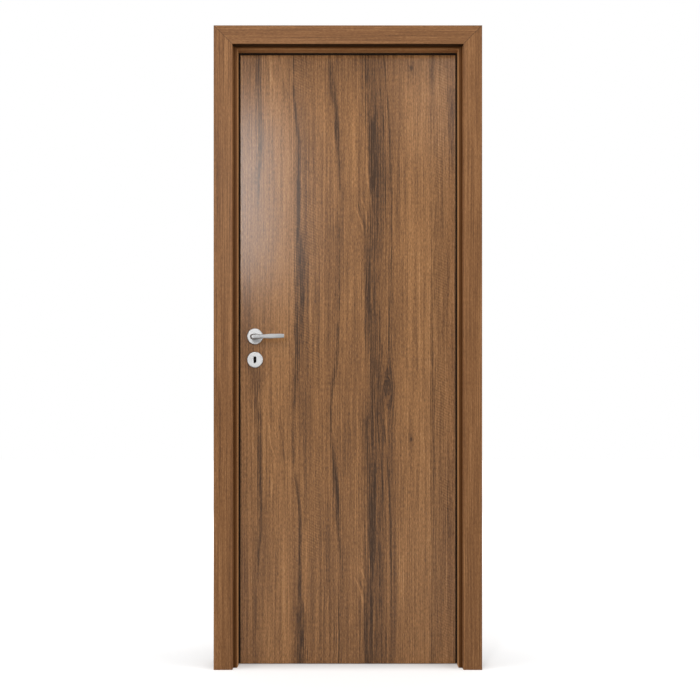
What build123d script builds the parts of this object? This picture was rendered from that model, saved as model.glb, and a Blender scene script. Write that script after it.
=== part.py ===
from build123d import *
import os

# Flush interior door hung in a lined frame with casings on both sides, in millimetres.
# X runs along the wall from the lock side to the hinge side, Y through the wall from the push side to the
# pull side, and Z up. The origin is on the wall side of the hinge jamb, at floor level and level with the
# leaf's front face.

# Leaf
leaf_width = 726.0
leaf_height = 1997.0
leaf_thickness = 40.0
panel_thickness = 5.0
lipping_thickness = 8.0
bottom_rail_height = 60.0

# Clearances
floor_gap = 2.0
leaf_gap = 5.0
seal_gap = 5.0
seal_touch_gap = 0.5
pocket_clearance = 0.3
running_clearance = 0.08
bearing_clearance = 0.25
neck_end_gap = 0.5
bolt_clearance = 0.3

# Frame boards and planted stops
board_thickness = 28.0
stop_thickness = 12.0
stop_depth = 34.0
stop_nose = 4.0
stop_arris = 1.5

# Casings
casing_width = 60.0
casing_thickness = 22.0
casing_arris = 2.0
front_casing_reveal = 1.0
head_casing_drop = 5.0
back_casing_reveal = 9.0

# Seals
seal_lip = 5.7
seal_base = 9.0
seal_wall = 1.2
seal_stem_width = 2.6
seal_stem_depth = 7.0
seal_stem_setback = 5.5
seal_floor_gap = 5.0

# Lever furniture
lever_height = 1069.0
backset = 60.0
keyhole_drop = 76.0
keyhole_width = 9.0
keyhole_height = 21.0
keyhole_bevel = 1.0
rose_diameter = 52.0
rose_thickness = 8.5
rose_rim = 3.0
neck_diameter = 20.0
neck_length = 16.0
lever_reach = 98.0
lever_projection = 48.0
elbow_radius = 15.0
arm_width = 19.4
arm_height = 16.4
heel_shift = 2.0
heel_swell = 2.0
neck_overlap = 3.0
spindle_size = 8.0
spindle_grip = 15.0
spindle_hole_diameter = 13.0

# Mortise lock
faceplate_width = 20.0
faceplate_height = 235.0
faceplate_thickness = 3.0
case_width = 16.0
case_height = 165.0
case_back = 26.0
ward_thickness = 2.0
bolt_depth = 32.0
latch_width = 12.0
latch_height = 18.0
latch_rise = 14.0
dead_bolt_width = 10.0
dead_bolt_height = 34.0
dead_bolt_rise = 24.0
strike_width = 24.0
strike_height = 170.0
strike_thickness = 2.0
strike_pocket_depth = 14.0

# Lift-off butt hinges
hinge_height = 100.0
hinge_end_distance = 200.0
flap_width = 32.0
flap_thickness = 2.5
knuckle_diameter = 14.0
knuckle_gap = 1.0
knuckle_cap = 6.0
knuckle_rounding = 1.5
pin_diameter = 8.0
pivot_offset = 7.5

# Positions that follow from the sizes
leaf_back = leaf_thickness
hinge_edge = -board_thickness - leaf_gap
lock_edge = hinge_edge - leaf_width
frame_width = leaf_width + 2 * (board_thickness + leaf_gap)
center_x = -frame_width / 2
leaf_top = floor_gap + leaf_height
soffit = leaf_top + leaf_gap
frame_height = soffit + board_thickness
stop_back = -seal_gap
frame_front = stop_back - stop_depth
frame_back = leaf_back
hinge_face = -board_thickness
lock_face = board_thickness - frame_width
spindle_x = lock_edge + backset
keyhole_z = lever_height - keyhole_drop
mid_leaf = leaf_thickness / 2
pivot_x = hinge_face - leaf_gap / 2
pivot_y = leaf_back + pivot_offset
lock_center_z = lever_height - keyhole_drop / 2
hinge_centers = {
    "upper": leaf_top - hinge_end_distance,
    "middle": floor_gap + leaf_height / 2,
    "lower": floor_gap + hinge_end_distance,
}
pocket_width = flap_width + pocket_clearance
pocket_height = hinge_height + 2 * pocket_clearance
front_plane = Plane(origin=(0, 0, 0), x_dir=(1, 0, 0), z_dir=(0, -1, 0))
mid_leaf_plane = front_plane.offset(-mid_leaf)
spindle_at = (spindle_x, lever_height)
keyhole_at = (spindle_x, keyhole_z)

pieces = {}


def block(low, high, mode=Mode.ADD):
    """Rectangular block between two opposite corners, for the part being built."""
    size = [top - bottom for bottom, top in zip(low, high)]
    with Locations(low):
        Box(*size, align=(Align.MIN, Align.MIN, Align.MIN), mode=mode)


def lock_holes(hole_diameter):
    """Spindle hole and keyhole, cut right through the part being built."""
    with BuildSketch(mid_leaf_plane) as holes:
        with Locations(spindle_at):
            Circle(hole_diameter / 2)
        with Locations(keyhole_at):
            SlotOverall(keyhole_height, keyhole_width, rotation=90)
    extrude(holes.sketch, amount=leaf_thickness, both=True, mode=Mode.SUBTRACT)


def surround(section, edge_x, edge_z, foot, names):
    """Three mitred runs of a profile round the opening: lock side, hinge side and head.

    The section's X points away from the opening and its Y through the wall. The hinge-side run's section
    starts at edge_x, the head's at edge_z.
    """
    far_x = 2 * center_x - edge_x
    reach = edge_z + 2 * casing_width - foot
    hinge_mitre = Plane(origin=(edge_x, 0, edge_z), x_dir=(0, 1, 0), z_dir=(1, 0, -1))
    lock_mitre = Plane(origin=(far_x, 0, edge_z), x_dir=(0, 1, 0), z_dir=(-1, 0, -1))

    with BuildPart() as lock_run:
        with BuildSketch(Plane(origin=(far_x, 0, foot), x_dir=(-1, 0, 0), z_dir=(0, 0, -1))):
            add(section)
        extrude(amount=-reach)
        split(bisect_by=lock_mitre, keep=Keep.TOP)

    with BuildPart() as hinge_run:
        with BuildSketch(Plane(origin=(edge_x, 0, foot), x_dir=(1, 0, 0), z_dir=(0, 0, 1))):
            add(section)
        extrude(amount=reach)
        split(bisect_by=hinge_mitre, keep=Keep.TOP)

    with BuildPart() as head_run:
        with BuildSketch(Plane(origin=(center_x, 0, edge_z), x_dir=(0, 0, 1), z_dir=(-1, 0, 0))):
            add(section)
        extrude(amount=frame_width, both=True)
        split(bisect_by=lock_mitre, keep=Keep.BOTTOM)
        split(bisect_by=hinge_mitre, keep=Keep.BOTTOM)

    pieces.update(zip(names, (lock_run, hinge_run, head_run)))


# Casings: flat boards with eased front arrises, mitred at the head
with BuildSketch() as front_casing_section:
    with Locations((0, frame_front - casing_thickness)):
        Rectangle(casing_width, casing_thickness, align=(Align.MIN, Align.MIN))
    fillet(front_casing_section.vertices().group_by(Axis.Y)[0], casing_arris)

surround(
    front_casing_section.sketch,
    hinge_face + front_casing_reveal,
    soffit - head_casing_drop,
    0,
    ("front_left_casing", "front_right_casing", "front_head_casing"),
)

with BuildSketch() as back_casing_section:
    with Locations((0, frame_back)):
        Rectangle(casing_width, casing_thickness, align=(Align.MIN, Align.MIN))
    fillet(back_casing_section.vertices().group_by(Axis.Y)[-1], casing_arris)

surround(
    back_casing_section.sketch,
    hinge_face + back_casing_reveal,
    soffit + back_casing_reveal,
    0,
    ("back_left_casing", "back_right_casing", "back_head_casing"),
)

# Stops: planted strips with a rounded nose on the push side and a kerf in the back for the seal
with BuildSketch() as stop_section:
    with Locations((0, stop_back)):
        Rectangle(stop_thickness, stop_depth, align=(Align.MIN, Align.MAX))
    nose_corner, seal_corner = stop_section.vertices().group_by(Axis.X)[0].sort_by(Axis.Y)
    fillet(nose_corner, stop_nose)
    fillet(seal_corner, stop_arris)
    with Locations((seal_stem_setback, stop_back)):
        Rectangle(
            seal_stem_width + 2 * pocket_clearance,
            seal_stem_depth + pocket_clearance,
            align=(Align.CENTER, Align.MAX),
            mode=Mode.SUBTRACT,
        )

surround(
    stop_section.sketch,
    hinge_face - stop_thickness,
    soffit - stop_thickness,
    0,
    ("lock_stop", "hinge_stop", "head_stop"),
)

# Seals: a hollow rubber bulb with a stem pressed in the stop's kerf
bulb_thickness = seal_gap - seal_touch_gap
bulb_width = seal_lip + seal_base
bulb_center = (bulb_width / 2 - seal_lip, stop_back + bulb_thickness / 2)
with BuildSketch() as seal_section:
    with Locations(bulb_center):
        SlotOverall(bulb_width, bulb_thickness)
    with Locations((seal_stem_setback, stop_back + bulb_thickness / 2)):
        Rectangle(
            seal_stem_width,
            seal_stem_depth + bulb_thickness / 2,
            align=(Align.CENTER, Align.MAX),
        )
    with Locations(bulb_center):
        SlotOverall(bulb_width - 2 * seal_wall, bulb_thickness - 2 * seal_wall, mode=Mode.SUBTRACT)

surround(
    seal_section.sketch,
    hinge_face - stop_thickness,
    soffit - stop_thickness,
    seal_floor_gap,
    ("lock_seal", "hinge_seal", "head_seal"),
)

# Frame boards: the head lies over the two jambs
strike_low = (lock_face - strike_thickness, mid_leaf - strike_width / 2, lock_center_z - strike_height / 2)
strike_high = (lock_face, mid_leaf + strike_width / 2, lock_center_z + strike_height / 2)
latch_z = lever_height + latch_rise
dead_bolt_z = keyhole_z + dead_bolt_rise
bolt_windows = (
    (latch_z, latch_width, latch_height),
    (dead_bolt_z, dead_bolt_width, dead_bolt_height),
)


def bolt_hole(window, low_x, high_x, clearance):
    """Window for a bolt, cut along X in the part being built."""
    height, width, tall = window
    block(
        (low_x, mid_leaf - width / 2 - clearance, height - tall / 2 - clearance),
        (high_x, mid_leaf + width / 2 + clearance, height + tall / 2 + clearance),
        mode=Mode.SUBTRACT,
    )


with BuildPart() as lock_jamb:
    block((-frame_width, frame_front, 0), (lock_face, frame_back, soffit))
    block(
        (strike_low[0], strike_low[1] - pocket_clearance, strike_low[2] - pocket_clearance),
        (strike_high[0], strike_high[1] + pocket_clearance, strike_high[2] + pocket_clearance),
        mode=Mode.SUBTRACT,
    )
    for window in bolt_windows:
        bolt_hole(window, lock_face - strike_pocket_depth, lock_face, 2 * bolt_clearance)
pieces["lock_jamb"] = lock_jamb

with BuildPart() as strike_plate:
    block(strike_low, strike_high)
    fillet(strike_plate.edges().filter_by(Axis.X), strike_width / 6)
    for window in bolt_windows:
        bolt_hole(window, strike_low[0], strike_high[0], 2 * bolt_clearance)
pieces["strike_plate"] = strike_plate

with BuildPart() as hinge_jamb:
    block((hinge_face, frame_front, 0), (0, frame_back, soffit))
    for height in hinge_centers.values():
        block(
            (hinge_face, frame_back - pocket_width, height - pocket_height / 2),
            (hinge_face + flap_thickness, frame_back, height + pocket_height / 2),
            mode=Mode.SUBTRACT,
        )
pieces["hinge_jamb"] = hinge_jamb

with BuildPart() as head_jamb:
    block((-frame_width, frame_front, soffit), (0, frame_back, frame_height))
pieces["head_jamb"] = head_jamb

# Leaf: faced core inside lippings, with a rail let in between the panels at the foot
panel_low = lock_edge + lipping_thickness
panel_high = hinge_edge - lipping_thickness
panel_top = leaf_top - lipping_thickness
core_front = panel_thickness
core_back = leaf_thickness - panel_thickness
case_low = lock_center_z - case_height / 2
case_high = lock_center_z + case_height / 2
case_front = mid_leaf - case_width / 2
case_rear = mid_leaf + case_width / 2
case_inner = spindle_x + case_back

with BuildPart() as leaf_front_panel:
    block((panel_low, 0, floor_gap), (panel_high, core_front, panel_top))
    lock_holes(spindle_hole_diameter)
pieces["leaf_front_panel"] = leaf_front_panel

with BuildPart() as leaf_back_panel:
    block((panel_low, core_back, floor_gap), (panel_high, leaf_back, panel_top))
    lock_holes(spindle_hole_diameter)
pieces["leaf_back_panel"] = leaf_back_panel

with BuildPart() as leaf_core:
    block((panel_low, core_front, floor_gap + bottom_rail_height), (panel_high, core_back, panel_top))
    block(
        (panel_low, case_front - pocket_clearance, case_low - pocket_clearance),
        (case_inner + pocket_clearance, case_rear + pocket_clearance, case_high + pocket_clearance),
        mode=Mode.SUBTRACT,
    )
    lock_holes(spindle_hole_diameter)
pieces["leaf_core"] = leaf_core

with BuildPart() as leaf_bottom_rail:
    block((panel_low, core_front, floor_gap), (panel_high, core_back, floor_gap + bottom_rail_height))
pieces["leaf_bottom_rail"] = leaf_bottom_rail

with BuildPart() as leaf_top_lipping:
    block((panel_low, 0, panel_top), (panel_high, leaf_back, leaf_top))
pieces["leaf_top_lipping"] = leaf_top_lipping

with BuildPart() as leaf_hinge_lipping:
    block((panel_high, 0, floor_gap), (hinge_edge, leaf_back, leaf_top))
    for height in hinge_centers.values():
        block(
            (hinge_edge - flap_thickness, leaf_back - pocket_width, height - pocket_height / 2),
            (hinge_edge, leaf_back, height + pocket_height / 2),
            mode=Mode.SUBTRACT,
        )
pieces["leaf_hinge_lipping"] = leaf_hinge_lipping

faceplate_plane = Plane(origin=(lock_edge, mid_leaf, lock_center_z), x_dir=(0, 1, 0), z_dir=(1, 0, 0))

with BuildPart() as leaf_lock_lipping:
    block((lock_edge, 0, floor_gap), (panel_low, leaf_back, leaf_top))
    with BuildSketch(faceplate_plane):
        SlotOverall(
            faceplate_height + 2 * pocket_clearance, faceplate_width + 2 * pocket_clearance, rotation=90
        )
    extrude(amount=faceplate_thickness, mode=Mode.SUBTRACT)
    block(
        (lock_edge, case_front - pocket_clearance, case_low - pocket_clearance),
        (panel_low, case_rear + pocket_clearance, case_high + pocket_clearance),
        mode=Mode.SUBTRACT,
    )
pieces["leaf_lock_lipping"] = leaf_lock_lipping

# Mortise lock with its bolts drawn back flush and a ward across the middle of its keyhole
with BuildPart() as lock_faceplate:
    with BuildSketch(faceplate_plane):
        SlotOverall(faceplate_height, faceplate_width, rotation=90)
    extrude(amount=faceplate_thickness)
    for window in bolt_windows:
        bolt_hole(window, lock_edge, lock_edge + faceplate_thickness, bolt_clearance)
pieces["lock_faceplate"] = lock_faceplate

with BuildPart() as lock_case:
    block(
        (lock_edge + faceplate_thickness, case_front, case_low),
        (case_inner, case_rear, case_high),
    )
    for window in bolt_windows:
        bolt_hole(window, lock_edge + faceplate_thickness, lock_edge + bolt_depth, bolt_clearance)
    lock_holes(spindle_hole_diameter)
    with BuildSketch(mid_leaf_plane):
        with Locations(keyhole_at):
            SlotOverall(keyhole_height, keyhole_width, rotation=90)
    extrude(amount=ward_thickness / 2, both=True)
pieces["lock_case"] = lock_case

with BuildPart() as latch_bolt:
    block(
        (lock_edge, mid_leaf - latch_width / 2, latch_z - latch_height / 2),
        (lock_edge + bolt_depth, mid_leaf + latch_width / 2, latch_z + latch_height / 2),
    )
    nose = latch_bolt.edges().filter_by(Axis.Z).group_by(Axis.X)[0].sort_by(Axis.Y)[-1]
    chamfer(nose, latch_width / 2)
pieces["latch_bolt"] = latch_bolt

with BuildPart() as dead_bolt:
    block(
        (lock_edge, mid_leaf - dead_bolt_width / 2, dead_bolt_z - dead_bolt_height / 2),
        (lock_edge + bolt_depth, mid_leaf + dead_bolt_width / 2, dead_bolt_z + dead_bolt_height / 2),
    )
pieces["dead_bolt"] = dead_bolt

# Roses: round plates with a rounded rim, one with the lever's bearing and one with the keyhole
with BuildPart() as front_rosette:
    with BuildSketch(front_plane):
        with Locations(spindle_at):
            Circle(rose_diameter / 2)
            Circle(neck_diameter / 2 + bearing_clearance, mode=Mode.SUBTRACT)
    extrude(amount=rose_thickness)
    rim = front_rosette.faces().sort_by(Axis.Y)[0].outer_wire().edges()
    fillet(rim, rose_rim)
pieces["front_rosette"] = front_rosette

with BuildPart() as back_rosette:
    mirror(front_rosette.part, about=mid_leaf_plane)
pieces["back_rosette"] = back_rosette

with BuildPart() as front_escutcheon:
    with BuildSketch(front_plane):
        with Locations(keyhole_at):
            Circle(rose_diameter / 2)
            SlotOverall(keyhole_height, keyhole_width, rotation=90, mode=Mode.SUBTRACT)
    extrude(amount=rose_thickness)
    face = front_escutcheon.faces().sort_by(Axis.Y)[0]
    keyhole_rim = face.inner_wires()[0].edges()
    fillet(face.outer_wire().edges(), rose_rim)
    chamfer(keyhole_rim, keyhole_bevel)
pieces["front_escutcheon"] = front_escutcheon

with BuildPart() as back_escutcheon:
    mirror(front_escutcheon.part, about=mid_leaf_plane)
pieces["back_escutcheon"] = back_escutcheon

# Lever: a round neck that turns over a full heel into a blade with a waist, a belly and a squared tip.
# Each station gives the place along the blade and out from the leaf, the drop below the spindle, the turn
# from the neck's direction, and the section's width, height and corner radius.
elbow_start = lever_projection - elbow_radius
elbow_middle = elbow_start + 0.707 * elbow_radius
heel_width = arm_width + heel_swell
neck_station = (elbow_start - neck_length) / 2
blade_length = lever_reach - elbow_radius
lever_stations = (
    (0.0, neck_length - neck_overlap, 0.0, 0, arm_width - 2.0, arm_height, 7.0),
    (-heel_shift / 2, neck_length + neck_station, 1.3, 0, arm_width + heel_swell / 2, arm_height + 0.8, 7.4),
    (-heel_shift, elbow_start, 2.7, 0, heel_width, arm_height + 1.6, 7.6),
    (0.293 * elbow_radius - heel_shift, elbow_middle, 3.3, 45, heel_width - 1.6, arm_height + 0.8, 7.2),
    (elbow_radius, lever_projection, 3.2, 90, 13.4, 15.2, 5.6),
    (elbow_radius + 0.145 * blade_length, lever_projection + 0.3, 2.9, 90, 11.4, 13.4, 4.4),
    (elbow_radius + 0.289 * blade_length, lever_projection + 0.5, 2.6, 90, 10.9, 13.4, 3.8),
    (elbow_radius + 0.434 * blade_length, lever_projection + 0.5, 2.2, 90, 10.5, 15.0, 3.5),
    (elbow_radius + 0.578 * blade_length, lever_projection + 0.2, 1.8, 92, 10.0, 14.8, 3.2),
    (elbow_radius + 0.723 * blade_length, lever_projection - 0.4, 1.4, 94, 9.3, 14.2, 2.8),
    (elbow_radius + 0.867 * blade_length, lever_projection - 1.4, 1.0, 96, 8.6, 13.5, 2.5),
    (lever_reach, lever_projection - 2.7, 0.6, 97, 8.0, 13.0, 2.2),
)

with BuildPart() as front_lever:
    with BuildSketch(front_plane.offset(neck_end_gap)):
        with Locations(spindle_at):
            Circle(neck_diameter / 2)
    extrude(amount=neck_length - neck_end_gap)
    for along, out, drop, turn, width, height, corner in lever_stations:
        turned = Plane(
            origin=(spindle_x + along, -out, lever_height - drop),
            x_dir=Vector(1, 0, 0).rotate(Axis.Z, turn),
            z_dir=Vector(0, -1, 0).rotate(Axis.Z, turn),
        )
        with BuildSketch(turned):
            RectangleRounded(width, height, corner)
    loft()
    with BuildSketch(front_plane):
        with Locations(spindle_at):
            Rectangle(spindle_size + 2 * running_clearance, spindle_size + 2 * running_clearance)
    extrude(amount=spindle_grip + running_clearance, mode=Mode.SUBTRACT)
pieces["front_lever"] = front_lever

with BuildPart() as back_lever:
    mirror(front_lever.part, about=mid_leaf_plane)
pieces["back_lever"] = back_lever

with BuildPart() as spindle:
    with BuildSketch(mid_leaf_plane):
        with Locations(spindle_at):
            Rectangle(spindle_size, spindle_size)
    extrude(amount=mid_leaf + spindle_grip, both=True)
pieces["spindle"] = spindle

# Hinges: the frame half carries the pin, the leaf half lifts off it
knuckle_radius = knuckle_diameter / 2
pin_radius = pin_diameter / 2
for place, height in hinge_centers.items():
    low = height - hinge_height / 2
    high = height + hinge_height / 2
    lower_top = height - knuckle_gap / 2
    upper_foot = height + knuckle_gap / 2

    with BuildPart() as frame_half:
        block(
            (hinge_face, frame_back - flap_width, low),
            (hinge_face + flap_thickness, frame_back, high),
        )
        block(
            (hinge_face, frame_back, low),
            (hinge_face + flap_thickness, pivot_y, lower_top),
        )
        with BuildSketch(Plane.XY.offset(low)):
            with Locations((pivot_x, pivot_y)):
                Circle(knuckle_radius)
        extrude(amount=lower_top - low)
        fillet(
            frame_half.edges().filter_by(GeomType.CIRCLE).group_by(Axis.Z)[0], knuckle_rounding
        )
        with BuildSketch(Plane.XY.offset(lower_top)):
            with Locations((pivot_x, pivot_y)):
                Circle(pin_radius)
        extrude(amount=high - knuckle_cap - lower_top)
    pieces[f"{place}_hinge_frame_half"] = frame_half

    with BuildPart() as leaf_half:
        block(
            (hinge_edge - flap_thickness, leaf_back - flap_width, low),
            (hinge_edge, leaf_back, high),
        )
        block(
            (hinge_edge - flap_thickness, leaf_back, upper_foot),
            (hinge_edge, pivot_y, high),
        )
        with BuildSketch(Plane.XY.offset(upper_foot)):
            with Locations((pivot_x, pivot_y)):
                Circle(knuckle_radius)
        extrude(amount=high - upper_foot)
        fillet(leaf_half.edges().filter_by(GeomType.CIRCLE).group_by(Axis.Z)[-1], knuckle_rounding)
        with BuildSketch(Plane.XY.offset(upper_foot)):
            with Locations((pivot_x, pivot_y)):
                Circle(pin_radius + running_clearance)
        extrude(amount=high - knuckle_cap - upper_foot + knuckle_gap, mode=Mode.SUBTRACT)
    pieces[f"{place}_hinge_leaf_half"] = leaf_half

os.makedirs("parts", exist_ok=True)
for node, piece in pieces.items():
    piece.part.label = node
    export_step(piece.part, f"parts/{node}.step")
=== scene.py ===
import math

import bmesh
import bpy
from mathutils import Matrix, Vector


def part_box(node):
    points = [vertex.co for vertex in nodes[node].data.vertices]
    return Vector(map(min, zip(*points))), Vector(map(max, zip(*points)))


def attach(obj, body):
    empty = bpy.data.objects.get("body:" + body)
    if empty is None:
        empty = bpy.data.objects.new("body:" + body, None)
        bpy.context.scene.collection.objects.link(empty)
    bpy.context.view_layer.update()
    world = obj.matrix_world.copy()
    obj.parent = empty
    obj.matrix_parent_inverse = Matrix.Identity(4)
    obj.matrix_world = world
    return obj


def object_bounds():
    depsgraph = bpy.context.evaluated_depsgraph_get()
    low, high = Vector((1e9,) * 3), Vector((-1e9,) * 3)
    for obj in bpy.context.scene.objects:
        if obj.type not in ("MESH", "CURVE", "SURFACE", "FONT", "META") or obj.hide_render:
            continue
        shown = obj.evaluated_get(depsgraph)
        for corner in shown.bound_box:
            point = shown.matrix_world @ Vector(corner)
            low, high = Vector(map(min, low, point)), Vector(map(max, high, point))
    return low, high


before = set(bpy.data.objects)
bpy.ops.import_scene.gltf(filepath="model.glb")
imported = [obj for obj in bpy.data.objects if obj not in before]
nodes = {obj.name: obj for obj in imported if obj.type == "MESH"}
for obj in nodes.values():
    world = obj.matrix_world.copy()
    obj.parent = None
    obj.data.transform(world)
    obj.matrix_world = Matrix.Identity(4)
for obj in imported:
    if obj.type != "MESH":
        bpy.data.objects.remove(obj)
cad_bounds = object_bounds()


class Shader:
    """A procedural material that grows node by node from object coordinates."""

    def __init__(self, name):
        self.material = bpy.data.materials.new(name)
        self.material.use_nodes = True
        self.tree = self.material.node_tree
        self.surface = self.tree.nodes["Principled BSDF"]
        self.place = self.add("ShaderNodeTexCoord").outputs["Object"]
        self.x, self.y, self.z = self.split(self.place)

    def add(self, kind, **settings):
        """A new node with the given settings."""
        node = self.tree.nodes.new(kind)
        for key, value in settings.items():
            setattr(node, key, value)
        return node

    def plug(self, socket, value):
        """Link a socket to another node's output, or give it a plain value."""
        if isinstance(value, bpy.types.NodeSocket):
            self.tree.links.new(value, socket)
        else:
            socket.default_value = value

    def split(self, vector):
        node = self.add("ShaderNodeSeparateXYZ")
        self.plug(node.inputs[0], vector)
        return node.outputs

    def join(self, x, y, z):
        node = self.add("ShaderNodeCombineXYZ")
        for socket, value in zip(node.inputs, (x, y, z)):
            self.plug(socket, value)
        return node.outputs[0]

    def normal(self):
        """The surface's direction, as three outputs."""
        return self.split(self.add("ShaderNodeNewGeometry").outputs["Normal"])

    def math(self, operation, *values, clamp=False):
        node = self.add("ShaderNodeMath", operation=operation, use_clamp=clamp)
        for socket, value in zip(node.inputs, values):
            self.plug(socket, value)
        return node.outputs[0]

    def total(self, first, *rest):
        for value in rest:
            first = self.math("ADD", first, value)
        return first

    def length(self, first, second):
        """Length of the diagonal over two distances at right angles."""
        squares = [self.math("POWER", value, 2.0) for value in (first, second)]
        return self.math("SQRT", self.total(*squares))

    def scaled(self, value, factor, offset=0.0):
        return self.math("MULTIPLY_ADD", value, factor, offset)

    def centred(self, value, amount):
        """A value between 0 and 1, spread over an amount about zero."""
        return self.scaled(value, amount, -amount / 2)

    def span(self, value, low, high, out_low=0.0, out_high=1.0, smooth=True):
        """Fade from one output to the other while the value goes from low to high."""
        kind = "SMOOTHSTEP" if smooth else "LINEAR"
        node = self.add("ShaderNodeMapRange", interpolation_type=kind, clamp=True)
        for socket, number in zip(node.inputs, (value, low, high, out_low, out_high)):
            self.plug(socket, number)
        return node.outputs[0]

    def noise(self, vector, stretch, detail=2.0, roughness=0.5):
        """Noise from 0 to 1, with its cycles per metre along each axis given by the stretch."""
        scale = self.add("ShaderNodeVectorMath", operation="MULTIPLY")
        self.plug(scale.inputs[0], vector)
        scale.inputs[1].default_value = stretch
        node = self.add("ShaderNodeTexNoise")
        self.plug(node.inputs["Vector"], scale.outputs[0])
        node.inputs["Scale"].default_value = 1.0
        node.inputs["Detail"].default_value = detail
        node.inputs["Roughness"].default_value = roughness
        return node.outputs["Fac"]

    def swing(self, amount, *settings):
        """Noise spread over an amount about zero."""
        return self.centred(self.noise(*settings), amount)

    def curve(self, value, points):
        """A smooth curve through points, all of them from 0 to 1."""
        node = self.add("ShaderNodeFloatCurve")
        node.mapping.extend = "HORIZONTAL"
        line = node.mapping.curves[0]
        line.points[0].location = points[0]
        line.points[1].location = points[-1]
        for point in points[1:-1]:
            line.points.new(*point)
        for point in line.points:
            point.handle_type = "AUTO_CLAMPED"
        node.mapping.update()
        self.plug(node.inputs["Value"], value)
        return node.outputs["Value"]

    def ramp(self, value, stops):
        node = self.add("ShaderNodeValToRGB")
        bar = node.color_ramp
        bar.elements[0].position, bar.elements[0].color = stops[0][0], (*stops[0][1], 1.0)
        bar.elements[1].position, bar.elements[1].color = stops[-1][0], (*stops[-1][1], 1.0)
        for position, colour in stops[1:-1]:
            bar.elements.new(position).color = (*colour, 1.0)
        self.plug(node.inputs[0], value)
        return node.outputs[0]

    def blend(self, factor, first, second):
        """From the first colour to the second as the factor goes from 0 to 1."""
        node = self.add("ShaderNodeMix", data_type="RGBA")
        self.plug(node.inputs[0], factor)
        for socket, colour in zip((node.inputs[6], node.inputs[7]), (first, second)):
            plain = isinstance(colour, tuple)
            self.plug(socket, (*colour, 1.0) if plain else colour)
        return node.outputs[2]

    def bump(self, height, distance, strength):
        node = self.add("ShaderNodeBump")
        node.inputs["Strength"].default_value = strength
        node.inputs["Distance"].default_value = distance
        self.plug(node.inputs["Height"], height)
        self.plug(self.surface.inputs["Normal"], node.outputs[0])

    def set(self, **values):
        """Set inputs of the surface, and hand over the finished material."""
        for key, value in values.items():
            self.plug(self.surface.inputs[key.replace("_", " ")], value)
        return self.material


def grey(level):
    return (level, level, level)


# The walnut print on the leaf repeats down its height, with the same streaks in each repeat. Places down
# the repeat go from 0 to 1. Places across are in metres from the leaf's middle.
LEAF_MIDDLE = sum(corner.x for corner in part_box("leaf_front_panel")) / 2
LEAF_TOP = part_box("leaf_front_panel")[1].z
PRINT_REPEAT = 1.21
PRINT_SPREAD = 0.8
WALNUT = (
    (0.00, (0.023, 0.012, 0.006)),
    (0.25, (0.075, 0.035, 0.015)),
    (0.50, (0.188, 0.085, 0.031)),
    (0.75, (0.335, 0.162, 0.061)),
    (1.00, (0.490, 0.270, 0.124)),
)
STREAK_BROWN = (0.057, 0.024, 0.007)
STREAK_TINT = 1.1
DARK_GAIN = 1.12
# A streak's half widths are in tenths of a metre, on top of a least half width in metres.
HALF_WIDTH_UNIT = 0.1
LEAST_HALF_WIDTH = 0.0016
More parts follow.
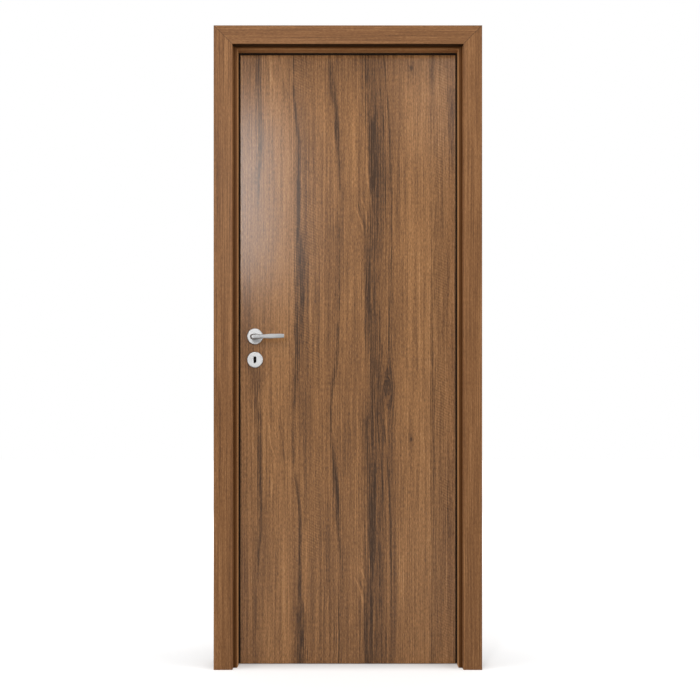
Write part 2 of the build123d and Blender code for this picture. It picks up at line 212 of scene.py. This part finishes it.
# Each streak: depth, lean to the softer side, then its path, half width and strength down the repeat.
DARK_STREAKS = (
    (0.30, -0.3,
     [(0.0, -0.290), (0.10, -0.287), (0.26, -0.284), (0.34, -0.290), (0.42, -0.294), (0.86, -0.298),
      (1.0, -0.290)],
     [(0.0, 0.18), (0.10, 0.16), (0.26, 0.12), (0.34, 0.08), (0.42, 0.03), (0.80, 0.20), (0.90, 0.26),
      (1.0, 0.18)],
     [(0.0, 0.7), (0.12, 0.9), (0.28, 0.9), (0.40, 0.6), (0.46, 0.0), (0.80, 0.0), (0.87, 0.7),
      (1.0, 0.7)]),
    (0.33, 0.4,
     [(0.0, -0.180), (0.10, -0.178), (0.17, -0.170), (0.25, -0.160), (0.46, -0.161), (0.58, -0.160),
      (0.80, -0.168), (0.93, -0.177), (1.0, -0.180)],
     [(0.0, 0.03), (0.17, 0.06), (0.45, 0.07), (0.52, 0.22), (0.62, 0.28), (0.80, 0.16), (0.93, 0.05),
      (1.0, 0.03)],
     [(0.0, 0.6), (0.17, 0.9), (0.30, 1.0), (0.46, 0.9), (0.60, 0.8), (0.80, 0.7), (1.0, 0.6)]),
    (0.32, -0.2,
     [(0.0, -0.056), (0.10, -0.046), (0.17, -0.036), (0.25, -0.031), (0.36, -0.027), (0.50, -0.030),
      (0.70, -0.030), (0.80, -0.033), (0.88, -0.045), (0.96, -0.055), (1.0, -0.056)],
     [(0.0, 0.08), (0.10, 0.12), (0.20, 0.11), (0.30, 0.06), (0.36, 0.03), (0.42, 0.02), (0.70, 0.05),
      (0.88, 0.08), (1.0, 0.08)],
     [(0.0, 0.6), (0.10, 0.8), (0.28, 1.0), (0.36, 0.8), (0.41, 0.1), (0.50, 0.5), (0.80, 0.7),
      (1.0, 0.6)]),
    (0.14, 0.0,
     [(0.0, 0.075), (0.22, 0.080), (0.36, 0.092), (0.56, 0.080), (0.72, 0.085), (0.92, 0.105), (1.0, 0.075)],
     [(0.0, 0.50), (0.20, 0.52), (0.56, 0.56), (0.80, 0.50), (1.0, 0.50)],
     [(0.0, 0.7), (0.22, 0.8), (0.36, 0.8), (0.56, 1.0), (0.80, 0.8), (1.0, 0.7)]),
    (0.18, -0.2,
     [(0.0, 0.062), (0.20, 0.072), (0.36, 0.076), (0.56, 0.066), (0.72, 0.074), (0.92, 0.090), (1.0, 0.062)],
     [(0.0, 0.14), (0.20, 0.16), (0.40, 0.12), (0.56, 0.22), (0.80, 0.18), (1.0, 0.14)],
     [(0.0, 0.6), (0.22, 0.7), (0.36, 0.7), (0.56, 0.9), (0.80, 0.7), (1.0, 0.6)]),
    (0.30, -0.4,
     [(0.0, 0.090), (0.15, 0.090), (0.25, 0.084), (0.33, 0.085), (0.40, 0.080), (1.0, 0.090)],
     [(0.0, 0.02), (0.15, 0.05), (0.25, 0.12), (0.33, 0.12), (0.40, 0.04), (1.0, 0.02)],
     [(0.0, 0.0), (0.12, 0.3), (0.21, 1.0), (0.34, 1.0), (0.41, 0.0), (1.0, 0.0)]),
    (0.28, 0.3,
     [(0.0, 0.118), (0.10, 0.128), (0.17, 0.134), (0.25, 0.137), (0.50, 0.140), (0.80, 0.131), (1.0, 0.118)],
     [(0.0, 0.03), (0.30, 0.04), (0.60, 0.03), (1.0, 0.03)],
     [(0.0, 0.8), (0.17, 1.0), (0.30, 0.8), (0.60, 0.7), (1.0, 0.8)]),
    (0.24, -0.3,
     [(0.0, 0.099), (0.10, 0.108), (0.20, 0.118), (0.30, 0.122), (0.50, 0.126), (0.80, 0.115), (1.0, 0.099)],
     [(0.0, 0.02), (0.30, 0.03), (1.0, 0.02)],
     [(0.0, 0.8), (0.17, 0.8), (0.30, 0.5), (0.60, 0.6), (1.0, 0.8)]),
    (0.14, 0.0,
     [(0.0, 0.274), (0.5, 0.277), (1.0, 0.274)],
     [(0.0, 0.12), (1.0, 0.12)],
     [(0.0, 0.8), (0.3, 0.4), (0.6, 0.8), (1.0, 0.8)]),
    (0.18, 0.0,
     [(0.0, 0.338), (1.0, 0.338)],
     [(0.0, 0.26), (1.0, 0.26)],
     [(0.0, 0.0), (0.08, 0.2), (0.14, 0.9), (0.28, 0.8), (0.38, 0.0), (1.0, 0.0)]),
    (0.16, 0.0,
     [(0.0, -0.226), (0.06, -0.212), (0.14, -0.208), (0.24, -0.214), (1.0, -0.226)],
     [(0.0, 0.012), (1.0, 0.012)],
     [(0.0, 0.9), (0.10, 0.7), (0.20, 0.0), (0.96, 0.0), (1.0, 0.9)]),
    (0.15, 0.4,
     [(0.0, 0.026), (0.36, 0.020), (0.40, 0.030), (0.44, 0.044), (0.47, 0.053), (0.52, 0.056), (1.0, 0.026)],
     [(0.0, 0.03), (1.0, 0.03)],
     [(0.0, 0.0), (0.38, 0.0), (0.42, 0.9), (0.47, 0.8), (0.53, 0.0), (1.0, 0.0)]),
)
PALE_STREAKS = (
    (0.16, 0.0,
     [(0.0, 0.126), (0.17, 0.132), (0.25, 0.128), (0.5, 0.129), (1.0, 0.126)],
     [(0.0, 0.04), (0.5, 0.05), (1.0, 0.04)],
     [(0.0, 0.8), (0.5, 0.5), (1.0, 0.8)]),
    (0.18, 0.0,
     [(0.0, 0.060), (0.22, 0.062), (0.34, 0.064), (0.40, 0.073), (0.46, 0.078), (1.0, 0.060)],
     [(0.0, 0.02), (0.3, 0.05), (1.0, 0.02)],
     [(0.0, 0.0), (0.24, 0.5), (0.34, 1.0), (0.42, 0.9), (0.48, 0.0), (1.0, 0.0)]),
    (0.16, 0.0,
     [(0.0, -0.258), (0.05, -0.254), (0.08, -0.244), (0.11, -0.243), (0.18, -0.250), (1.0, -0.258)],
     [(0.0, 0.035), (1.0, 0.035)],
     [(0.0, 0.9), (0.10, 0.9), (0.20, 0.3), (0.30, 0.0), (0.96, 0.0), (1.0, 0.9)]),
    (0.17, 0.0,
     [(0.0, 0.02), (0.40, 0.020), (0.44, 0.036), (0.47, 0.046), (0.50, 0.050), (1.0, 0.02)],
     [(0.0, 0.03), (1.0, 0.03)],
     [(0.0, 0.0), (0.40, 0.0), (0.43, 1.0), (0.47, 0.9), (0.51, 0.0), (1.0, 0.0)]),
    (0.17, 0.0,
     [(0.0, 0.04), (0.38, 0.040), (0.41, 0.052), (0.44, 0.058), (0.47, 0.060), (1.0, 0.04)],
     [(0.0, 0.03), (1.0, 0.03)],
     [(0.0, 0.0), (0.37, 0.0), (0.40, 1.0), (0.44, 0.9), (0.48, 0.0), (1.0, 0.0)]),
)
# Lightness and strength of the ripple, from the lock edge of the spread at 0 to its hinge edge at 1
TONE_ZONES = [
    (0.045, 0.57), (0.12, 0.57), (0.20, 0.61), (0.26, 0.58), (0.31, 0.49), (0.40, 0.52), (0.46, 0.50),
    (0.50, 0.53), (0.54, 0.53), (0.60, 0.47), (0.66, 0.46), (0.72, 0.55), (0.82, 0.62), (0.87, 0.60),
    (0.95, 0.64),
]
RIPPLE_ZONES = [
    (0.27, 0.0), (0.30, 0.9), (0.37, 0.8), (0.42, 0.0), (0.84, 0.0), (0.88, 1.0), (0.91, 0.8), (0.94, 0.0),
]
RIPPLE_DEPTH = 0.06
# Each knot: place across, place down the repeat, and how far its height is squeezed
BURL_KNOT = (0.128, 0.905, 0.32)
PIN_KNOT = (0.207, 0.038, 0.55)
LEAF_ROUGHNESS = 0.22
LEAF_SPECULAR = 0.25

# Straight-grained veneer on casings, boards and stops
CASING_WALNUT = (
    (0.0, (0.061, 0.026, 0.011)),
    (0.5, (0.186, 0.082, 0.030)),
    (1.0, (0.370, 0.185, 0.076)),
)
JOINT_BROWN = (0.030, 0.014, 0.007)
# Painted shade colour for a stop's front edge beside a casing
RECESS_SHADE = (0.058, 0.018, 0.003)
# Painted shade colour for the head casing's underside
UNDERSIDE_SHADE = (0.012, 0.005, 0.002)
VENEER_ROUGHNESS = 0.46
VENEER_SPECULAR = 0.15
RECESS_SPECULAR = 0.04

PORE_ROUGHNESS = 0.12
GRAIN_RELIEF = 0.00012
RELIEF_STRENGTH = 0.5


def leaf_print(name):
    """Walnut veneer print: dark streaks, pale veins, fine fibres, ripple, pores and two knots."""
    s = Shader(name)
    u = s.total(s.scaled(s.x, 1.0, -LEAF_MIDDLE), s.y)
    down = s.math("FRACT", s.scaled(s.z, -1.0 / PRINT_REPEAT, LEAF_TOP / PRINT_REPEAT))
    flat = s.join(u, 0.0, s.z)

    def from_knot(side, at, squeeze):
        """Distance across from a knot's middle, and the full distance with its height squeezed."""
        off = s.scaled(u, 1.0, -side)
        rise = s.scaled(down, PRINT_REPEAT * squeeze, -at * PRINT_REPEAT * squeeze)
        return off, s.length(off, rise)

    drift = s.swing(0.012, flat, (5.0, 1.0, 1.1))
    shiver = s.swing(0.0050, flat, (34.0, 1.0, 7.0), 3.0, 0.6)
    burl_side, burl = from_knot(*BURL_KNOT)
    push = s.math("MULTIPLY", burl_side, s.span(burl, 0.0, 0.060, -0.016, 0.0))
    parting = s.math("DIVIDE", push, s.scaled(burl, 1.0, 0.004))
    across = s.total(u, drift, shiver, parting)
    grain = s.join(across, 0.0, s.z)
    strands = s.noise(grain, (270.0, 1.0, 2.2), 3.0, 0.7)
    dashes = s.noise(grain, (250.0, 1.0, 18.0), 2.0, 0.6)
    fray = s.centred(strands, 0.020)

    def streak(lean, path, half_width, strength):
        """How strongly a streak shows at a point of the print."""
        route = s.curve(down, [(at, x / PRINT_SPREAD + 0.5) for at, x in path])
        signed = s.math("SUBTRACT", across, s.centred(route, PRINT_SPREAD))
        away = s.math(
            "MAXIMUM", s.scaled(signed, 1.0 / (1.0 + lean)), s.scaled(signed, -1.0 / (1.0 - lean))
        )
        reach = s.scaled(s.curve(down, half_width), HALF_WIDTH_UNIT, LEAST_HALF_WIDTH)
        frayed = s.total(away, s.math("MULTIPLY", fray, s.span(reach, 0.003, 0.03)))
        return s.span(frayed, 0.0, reach, s.curve(down, strength), 0.0)

    dark = s.total(*[s.scaled(streak(*shape), DARK_GAIN * depth) for depth, *shape in DARK_STREAKS])
    pale = s.total(*[s.scaled(streak(*shape), depth) for depth, *shape in PALE_STREAKS])
    frayed_dark = s.math("MULTIPLY", dark, s.span(strands, 0.34, 0.62, 1.50, 0.45))
    broken = s.math("MULTIPLY", frayed_dark, s.span(dashes, 0.30, 0.66, 1.35, 0.55))

    side = s.scaled(across, 1.0 / PRINT_SPREAD, 0.5)
    zones = s.curve(side, TONE_ZONES)
    clouds = s.swing(0.40, grain, (18.0, 1.0, 2.0), 3.0, 0.6)
    bands = s.swing(0.44, grain, (70.0, 1.0, 1.5), 3.0, 0.65)
    flecks = s.swing(0.66, grain, (430.0, 1.0, 90.0), 1.0, 0.6)
    fibres = s.swing(0.24, grain, (1300.0, 1.0, 40.0), 2.0, 0.6)
    pore_mask = s.span(s.noise(grain, (430.0, 1.0, 46.0), 1.0), 0.64, 0.74)

    slant = s.total(s.scaled(s.z, 700.0), s.scaled(across, 330.0), s.scaled(bands, 14.0))
    patches = s.span(s.noise(flat, (9.0, 1.0, 3.2)), 0.44, 0.60)
    rippled = s.math("MULTIPLY", s.curve(side, RIPPLE_ZONES), patches)
    ripple = s.math("MULTIPLY", rippled, s.scaled(s.math("SINE", slant), RIPPLE_DEPTH))

    pin = from_knot(*PIN_KNOT)[1]
    knots = s.total(
        s.span(pin, 0.001, 0.008, 0.26, 0.0),
        s.span(pin, 0.0, 0.035, 0.05, 0.0),
        s.span(burl, 0.004, 0.030, 0.22, 0.0),
    )

    tone = s.total(
        zones, clouds, bands, s.centred(strands, 0.88), s.centred(dashes, 0.36), flecks, fibres,
        s.scaled(pore_mask, -0.18), ripple, pale, s.scaled(broken, -1.0), s.scaled(knots, -1.0),
    )
    colour = s.ramp(tone, WALNUT)
    colour = s.blend(s.math("MULTIPLY", broken, STREAK_TINT, clamp=True), colour, STREAK_BROWN)
    s.bump(s.total(flecks, s.scaled(pore_mask, -0.2)), GRAIN_RELIEF, RELIEF_STRENGTH)
    rough = s.total(s.scaled(pore_mask, PORE_ROUGHNESS), s.scaled(clouds, 0.10, LEAF_ROUGHNESS))
    return s.set(Base_Color=colour, Roughness=rough, Specular_IOR_Level=LEAF_SPECULAR)


def straight_grain(name, lengthwise, mitres=(), recess_shade=None, lightness=0.5, shaded_underside=False):
    """Straight-grained veneer with fine pores, its grain along X or Z.

    Mitres are dark joint lines. A recess shade is painted shade on a stop's front edge beside a casing,
    given as an axis, the place of the casing's edge on it and the direction into the opening. The painted
    shade is darkest in the corner and a little paler towards the opening. A shaded underside gets painted
    shade.
    """
    s = Shader(name)
    along, wide = (s.z, s.x) if lengthwise == "Z" else (s.x, s.z)
    across = s.total(wide, s.scaled(s.y, 0.83))
    flat = s.join(across, 0.0, along)
    drift = s.swing(0.010, flat, (7.0, 1.0, 1.6))
    grain = s.join(s.total(across, drift), 0.0, along)
    clouds = s.swing(0.50, grain, (26.0, 1.0, 2.0))
    bands = s.swing(1.30, grain, (300.0, 1.0, 2.2), 2.0, 0.7)
    dashes = s.swing(0.44, grain, (250.0, 1.0, 18.0), 2.0, 0.6)
    flecks = s.swing(0.60, grain, (430.0, 1.0, 90.0), 1.0, 0.6)
    fibres = s.swing(0.22, grain, (1500.0, 1.0, 40.0), 2.0, 0.6)
    pore_mask = s.span(s.noise(grain, (460.0, 1.0, 50.0), 1.0), 0.64, 0.74)
    tone = s.total(
        s.scaled(clouds, 1.0, lightness), bands, dashes, flecks, fibres, s.scaled(pore_mask, -0.20)
    )
    colour = s.ramp(tone, CASING_WALNUT)
    for by_x, by_z, offset, foot in mitres:
        place = s.total(s.scaled(s.x, by_x, offset), s.scaled(s.z, by_z))
        shown = s.span(s.z, foot - 0.001, foot, 0.0, 0.60)
        gap = s.span(s.math("ABSOLUTE", place), 0.0003, 0.0016, shown, 0.0)
        colour = s.blend(gap, colour, JOINT_BROWN)
    # Painted shade: a stop's front face beside the casing is darkened, darkest in the corner
    if recess_shade:
        axis, edge, inward = recess_shade
        from_edge = s.scaled(s.x if axis == "X" else s.z, inward, -inward * edge)
        facing_front = s.span(s.normal()[1], -0.88, -0.50, 1.0, 0.0)
        depth = s.span(from_edge, 0.000, 0.010, 0.96, 0.80)
        colour = s.blend(s.math("MULTIPLY", facing_front, depth), colour, RECESS_SHADE)
    # Painted shade: downward faces are darkened as if in shadow
    if shaded_underside:
        facing_down = s.span(s.normal()[2], -0.95, -0.70, 0.92, 0.0)
        colour = s.blend(facing_down, colour, UNDERSIDE_SHADE)
    s.bump(s.total(flecks, s.scaled(pore_mask, -0.3)), GRAIN_RELIEF, RELIEF_STRENGTH)
    rough = s.total(s.scaled(pore_mask, PORE_ROUGHNESS), s.scaled(clouds, 0.12, VENEER_ROUGHNESS))
    specular = RECESS_SPECULAR if recess_shade else VENEER_SPECULAR
    return s.set(Base_Color=colour, Roughness=rough, Specular_IOR_Level=specular)


def raw_board(name):
    """Pressed wood-fibre board: a warm ground with pale and dark chips."""
    s = Shader(name)
    chips = s.noise(s.place, (260.0, 260.0, 120.0), 3.0, 0.6)
    dust = s.noise(s.place, (1400.0, 1400.0, 1400.0))
    tone = s.total(s.scaled(chips, 0.8), s.scaled(dust, 0.4, -0.1))
    colour = s.ramp(tone, (
        (0.20, (0.16, 0.09, 0.045)),
        (0.50, (0.36, 0.23, 0.125)),
        (0.85, (0.55, 0.40, 0.25)),
    ))
    s.bump(tone, 0.0004, 0.6)
    return s.set(Base_Color=colour, Roughness=s.scaled(chips, 0.2, 0.72))


def soft_rubber(name):
    """Black sealing rubber with a faint bloom."""
    s = Shader(name)
    bloom = s.noise(s.place, (60.0, 60.0, 14.0), 3.0)
    fine = s.noise(s.place, (1800.0, 1800.0, 500.0))
    colour = s.ramp(bloom, ((0.25, (0.006, 0.004, 0.003)), (0.75, (0.016, 0.010, 0.007))))
    s.bump(fine, 0.0001, 0.5)
    return s.set(Base_Color=colour, Roughness=s.scaled(fine, 0.25, 0.62), Specular_IOR_Level=0.05)


def satin_metal(name, colour_low, colour_high, brushing, roughness):
    """Satin metal, brushed along one axis, with faint handling marks."""
    s = Shader(name)
    lines = s.noise(s.place, brushing, 2.0, 0.6)
    marks = s.noise(s.place, (42.0, 42.0, 42.0), 4.0, 0.6)
    wear = s.total(s.scaled(lines, 0.6), s.scaled(marks, 0.4))
    colour = s.ramp(wear, ((0.3, colour_low), (0.7, colour_high)))
    rough = s.total(s.scaled(lines, 0.14, roughness - 0.10), s.scaled(marks, 0.06))
    s.bump(lines, 0.00004, 0.5)
    return s.set(Base_Color=colour, Roughness=rough, Metallic=1.0)


def mitre_lines(left, right, head):
    """The two 45-degree joins of a mitred surround, from its outer corners."""
    low_x, high_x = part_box(left)[0].x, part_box(right)[1].x
    foot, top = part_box(head)[0].z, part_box(head)[1].z
    half = math.sqrt(0.5)
    return (half, half, -half * (low_x + top), foot), (half, -half, half * (top - high_x), foot)


front_mitres = mitre_lines("front_left_casing", "front_right_casing", "front_head_casing")
back_mitres = mitre_lines("back_left_casing", "back_right_casing", "back_head_casing")
# Where the painted recess shade starts on each stop, and which way it fades
lock_recess_shade = ("X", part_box("front_left_casing")[1].x, 1.0)
hinge_recess_shade = ("X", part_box("front_right_casing")[0].x, -1.0)
head_recess_shade = ("Z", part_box("front_head_casing")[0].z, -1.0)

leaf_face = leaf_print("walnut_print")
front_upright = straight_grain("front_casing_upright", "Z", front_mitres)
# The head casing's underside gets painted shade
front_level = straight_grain("front_casing_level", "X", front_mitres, shaded_underside=True)
back_upright = straight_grain("back_casing_upright", "Z", back_mitres)
back_level = straight_grain("back_casing_level", "X", back_mitres)
frame_upright = straight_grain("frame_upright", "Z")
frame_level = straight_grain("frame_level", "X")
# Painted light: the stops are set paler than the casings, the hinge stop palest, to stand in for light on
# their inner faces
lock_stop = straight_grain("lock_stop", "Z", recess_shade=lock_recess_shade, lightness=0.84)
hinge_stop = straight_grain("hinge_stop", "Z", recess_shade=hinge_recess_shade, lightness=0.96)
head_stop = straight_grain("head_stop", "X", recess_shade=head_recess_shade, lightness=0.78)
board = raw_board("raw_board")
rubber = soft_rubber("seal_rubber")
# Painted shade: the lever's greys are set darker than the rosettes' to stand in for the darker surroundings
# it mirrors
lever_metal = satin_metal("lever_aluminium", grey(0.24), grey(0.34), (60.0, 1500.0, 1500.0), 0.48)
rose_metal = satin_metal("rose_aluminium", grey(0.34), grey(0.44), (90.0, 900.0, 1500.0), 0.42)
# Near-black steel on the lock case, a dark finish that also paints the shade inside the keyhole
keyhole_shade_steel = satin_metal("keyhole_shade_steel", grey(0.012), (0.030, 0.029, 0.028), (400.0, 400.0, 80.0), 0.60)
steel = satin_metal("satin_steel", (0.42, 0.41, 0.39), (0.62, 0.61, 0.58), (1200.0, 1200.0, 80.0), 0.34)

looks = {
    leaf_face: [
        "leaf_front_panel", "leaf_back_panel", "leaf_hinge_lipping", "leaf_lock_lipping", "leaf_top_lipping",
    ],
    front_upright: ["front_left_casing", "front_right_casing"],
    front_level: ["front_head_casing"],
    back_upright: ["back_left_casing", "back_right_casing"],
    back_level: ["back_head_casing"],
    frame_upright: ["lock_jamb", "hinge_jamb"],
    frame_level: ["head_jamb"],
    lock_stop: ["lock_stop"],
    hinge_stop: ["hinge_stop"],
    head_stop: ["head_stop"],
    board: ["leaf_core", "leaf_bottom_rail"],
    rubber: ["lock_seal", "hinge_seal", "head_seal"],
    lever_metal: ["front_lever", "back_lever"],
    rose_metal: ["front_rosette", "back_rosette", "front_escutcheon", "back_escutcheon"],
    keyhole_shade_steel: ["lock_case"],
    steel: [
        "spindle", "lock_faceplate", "latch_bolt", "dead_bolt", "strike_plate",
        "upper_hinge_frame_half", "middle_hinge_frame_half", "lower_hinge_frame_half",
        "upper_hinge_leaf_half", "middle_hinge_leaf_half", "lower_hinge_leaf_half",
    ],
}
for material, names in looks.items():
    for name in names:
        nodes[name].data.materials.clear()
        nodes[name].data.materials.append(material)

# Screw heads: sizes in metres, and the turn of the cross from one head to the next in radians
SCREW_RADIUS = 0.0036
SCREW_DOME = 0.0006
CROSS_HALF_WIDTH = 0.0006
CROSS_REACH = 0.0020
CROSS_DEPTH = 0.0005
CROSS_TAPER = 0.8
FIRST_TURN = 0.7
NEXT_TURN = 1.9
RING_STEPS = 36
# Each screw of a hinge flap: distance from the flap's inner edge, and height from the hinge's middle
FLAP_SCREWS = ((0.008, -0.038), (0.022, -0.016), (0.022, 0.016), (0.008, 0.038))
PLATE_SCREW_INSET = 0.011
TO_LOCK_SIDE = Vector((-1.0, 0.0, 0.0))
TO_HINGE_SIDE = Vector((1.0, 0.0, 0.0))


def screw_heads(name, places, outward, body):
    """Low domed screw heads with a cross recess, one mesh for each plate."""
    mesh = bpy.data.meshes.new(name)
    shape = bmesh.new()
    turn = outward.to_track_quat("Z", "X").to_matrix().to_4x4()
    slot, arm = CROSS_HALF_WIDTH, CROSS_REACH
    cross = [
        (arm, -slot), (arm, slot), (slot, slot), (slot, arm), (-slot, arm), (-slot, slot),
        (-arm, slot), (-arm, -slot), (-slot, -slot), (-slot, -arm), (slot, -arm), (slot, -slot),
    ]
    rings = [
        (SCREW_RADIUS * across, SCREW_DOME * up)
        for across, up in ((1.0, 0.0), (0.96, 0.45), (0.80, 0.85), (0.66, 1.0))
    ]
    angles = [2 * math.pi * step / RING_STEPS for step in range(RING_STEPS)]
    for number, place in enumerate(places):
        spin = Matrix.Rotation(FIRST_TURN + NEXT_TURN * number, 4, "Z")
        set_in = Matrix.Translation(place) @ turn @ spin
        loops = []
        for size, height in rings:
            points = [Vector((size * math.cos(a), size * math.sin(a), height)) for a in angles]
            loops.append([shape.verts.new(set_in @ point) for point in points])
        for lower, upper in zip(loops, loops[1:]):
            for step in range(RING_STEPS):
                after = (step + 1) % RING_STEPS
                shape.faces.new((lower[step], lower[after], upper[after], upper[step]))
        lip = [shape.verts.new(set_in @ Vector((x, y, SCREW_DOME))) for x, y in cross]
        bed_height = SCREW_DOME - CROSS_DEPTH
        bed_points = [Vector((x * CROSS_TAPER, y * CROSS_TAPER, bed_height)) for x, y in cross]
        bed = [shape.verts.new(set_in @ point) for point in bed_points]
        edges = [shape.edges.new((lip[step], lip[step - 1])) for step in range(len(lip))]
        edges += [shape.edges.get((loops[-1][step], loops[-1][step - 1])) for step in range(RING_STEPS)]
        bmesh.ops.triangle_fill(shape, edges=edges, use_beauty=True)
        for step in range(len(lip)):
            shape.faces.new((lip[step - 1], lip[step], bed[step], bed[step - 1]))
        shape.faces.new(bed)
    bmesh.ops.recalc_face_normals(shape, faces=shape.faces)
    shape.to_mesh(mesh)
    shape.free()
    mesh.materials.append(steel)
    piece = bpy.data.objects.new(name, mesh)
    bpy.context.scene.collection.objects.link(piece)
    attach(piece, body)


flap_faces = {
    "frame": (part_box("hinge_jamb")[0].x, TO_LOCK_SIDE),
    "leaf": (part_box("leaf_hinge_lipping")[1].x, TO_HINGE_SIDE),
}
for level in ("upper", "middle", "lower"):
    for body, (face_x, outward) in flap_faces.items():
        low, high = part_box(f"{level}_hinge_{body}_half")
        middle = (low.z + high.z) / 2
        places = [Vector((face_x, low.y + inset, middle + rise)) for inset, rise in FLAP_SCREWS]
        screw_heads(f"{level}_hinge_{body}_screws", places, outward, body)


def plate_screws(low, high, face_x):
    """Places of the two screws on the middle line of an upright plate."""
    heights = (low.z + PLATE_SCREW_INSET, high.z - PLATE_SCREW_INSET)
    return [Vector((face_x, (low.y + high.y) / 2, z)) for z in heights]


low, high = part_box("lock_faceplate")
screw_heads("faceplate_screws", plate_screws(low, high, low.x), TO_LOCK_SIDE, "leaf")
low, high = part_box("strike_plate")
screw_heads("strike_screws", plate_screws(low, high, high.x), TO_HINGE_SIDE, "frame")

FLOOR_REACH = 9.0
FLOOR_WHITE = 0.70
ROOM_LEVEL = 0.30
# Each soft box: name, place, target, width, height and power in watts
SOFT_BOXES = (
    ("key_box", (-1.12, -2.95, 2.20), (-0.60, 0.0, 1.30), 0.36, 1.1, 26.0),
    ("left_box", (-3.4, -1.2, 1.6), (-0.4, 0.0, 1.1), 2.2, 3.0, 64.0),
    ("right_box", (2.6, -1.2, 1.6), (-0.4, 0.0, 1.1), 2.2, 3.0, 71.0),
    ("back_box", (-0.4, 3.4, 2.0), (-0.4, 0.0, 1.1), 2.4, 2.2, 66.0),
    ("corner_box", (0.30, -2.9, 2.95), (-0.10, 0.0, 1.85), 0.6, 0.8, 3.4),
    ("top_box", (-0.4, -1.4, 4.0), (-0.4, -0.1, 0.8), 2.4, 1.2, 30.0),
)
CAMERA_PLACE = (-0.396, -2.811, 0.872)
CAMERA_LENS = 44.30
CAMERA_SHIFT = (0.0030, 0.067)


def white_floor():
    """A wide white floor that keeps the soft shadow of the door set.

    It glows a little where it is seen or mirrored: more with distance, less in the doorway, a painted
    contact shadow.
    """
    mesh = bpy.data.meshes.new("floor")
    corners = [(-1, -1), (1, -1), (1, 1), (-1, 1)]
    mesh.from_pydata([(x * FLOOR_REACH, y * FLOOR_REACH, 0) for x, y in corners], [], [(0, 1, 2, 3)])
    s = Shader("white_floor")
    rough = s.scaled(s.noise(s.place, (3.0, 3.0, 3.0)), 0.1, 0.75)
    s.set(Base_Color=(*grey(FLOOR_WHITE), 1.0), Roughness=rough, Specular_IOR_Level=0.0)
    from_middle = s.scaled(s.x, 1.0, -(cad_bounds[0].x + cad_bounds[1].x) / 2)
    from_leaf = s.math("ABSOLUTE", s.scaled(s.y, 1.0, -0.02))
    # Painted shadow: the glow is lowered in the doorway near the leaf's line, a contact shadow painted into
    # the floor
    inside = s.span(s.math("ABSOLUTE", from_middle), 0.33, 0.40, 0.17, 0.0)
    painted_door_shadow = s.math("MULTIPLY", inside, s.span(from_leaf, 0.01, 0.10, 1.0, 0.0))
    around = s.total(s.span(s.y, -0.09, -0.01, 0.39, 0.27), s.span(s.y, 0.0, 0.30, 0.0, 0.12))
    far = s.span(s.length(from_middle, s.y), 0.3, 6.0, 0.0, 0.60, smooth=False)
    level = s.math("SUBTRACT", s.total(around, far), painted_door_shadow)
    light = s.add("ShaderNodeLightPath").outputs
    seen = s.total(light["Is Camera Ray"], light["Is Glossy Ray"], light["Is Transmission Ray"])
    lift = s.add("ShaderNodeEmission")
    s.plug(lift.inputs["Strength"], s.math("MULTIPLY", level, seen))
    both = s.add("ShaderNodeAddShader")
    s.plug(both.inputs[0], s.surface.outputs[0])
    s.plug(both.inputs[1], lift.outputs[0])
    s.plug(s.tree.nodes["Material Output"].inputs["Surface"], both.outputs[0])
    mesh.materials.append(s.material)
    floor = bpy.data.objects.new("floor", mesh)
    bpy.context.scene.collection.objects.link(floor)


def white_room(strength):
    """An even white surround, plain white where it is seen or mirrored."""
    world = bpy.data.worlds.new("white_room")
    world.use_nodes = True
    tree = world.node_tree
    sky = tree.nodes["Background"]
    sky.inputs["Color"].default_value = (1.0, 1.0, 1.0, 1.0)
    light = tree.nodes.new("ShaderNodeLightPath").outputs
    seen = light["Is Camera Ray"]
    for kind in ("Is Glossy Ray", "Is Transmission Ray"):
        either = tree.nodes.new("ShaderNodeMath")
        either.operation = "MAXIMUM"
        tree.links.new(seen, either.inputs[0])
        tree.links.new(light[kind], either.inputs[1])
        seen = either.outputs[0]
    level = tree.nodes.new("ShaderNodeMapRange")
    level.inputs["To Min"].default_value = strength
    level.inputs["To Max"].default_value = 1.0
    tree.links.new(seen, level.inputs["Value"])
    tree.links.new(level.outputs[0], sky.inputs["Strength"])
    bpy.context.scene.world = world


def soft_box(name, place, target, width, height, power):
    """A rectangular area lamp turned to its target."""
    lamp = bpy.data.lights.new(name, "AREA")
    lamp.shape = "RECTANGLE"
    lamp.size, lamp.size_y, lamp.energy = width, height, power
    holder = bpy.data.objects.new(name, lamp)
    holder.location = place
    holder.rotation_mode = "QUATERNION"
    holder.rotation_quaternion = (Vector(target) - Vector(place)).to_track_quat("-Z", "Y")
    bpy.context.scene.collection.objects.link(holder)


white_floor()
white_room(ROOM_LEVEL)
for box in SOFT_BOXES:
    soft_box(*box)

lens = bpy.data.cameras.new("camera")
lens.lens = CAMERA_LENS
lens.shift_x, lens.shift_y = CAMERA_SHIFT
camera = bpy.data.objects.new("camera", lens)
camera.location = CAMERA_PLACE
camera.rotation_euler = (math.pi / 2, 0.0, 0.0)
bpy.context.scene.collection.objects.link(camera)
bpy.context.scene.camera = camera
bpy.context.scene.view_settings.view_transform = "Standard"
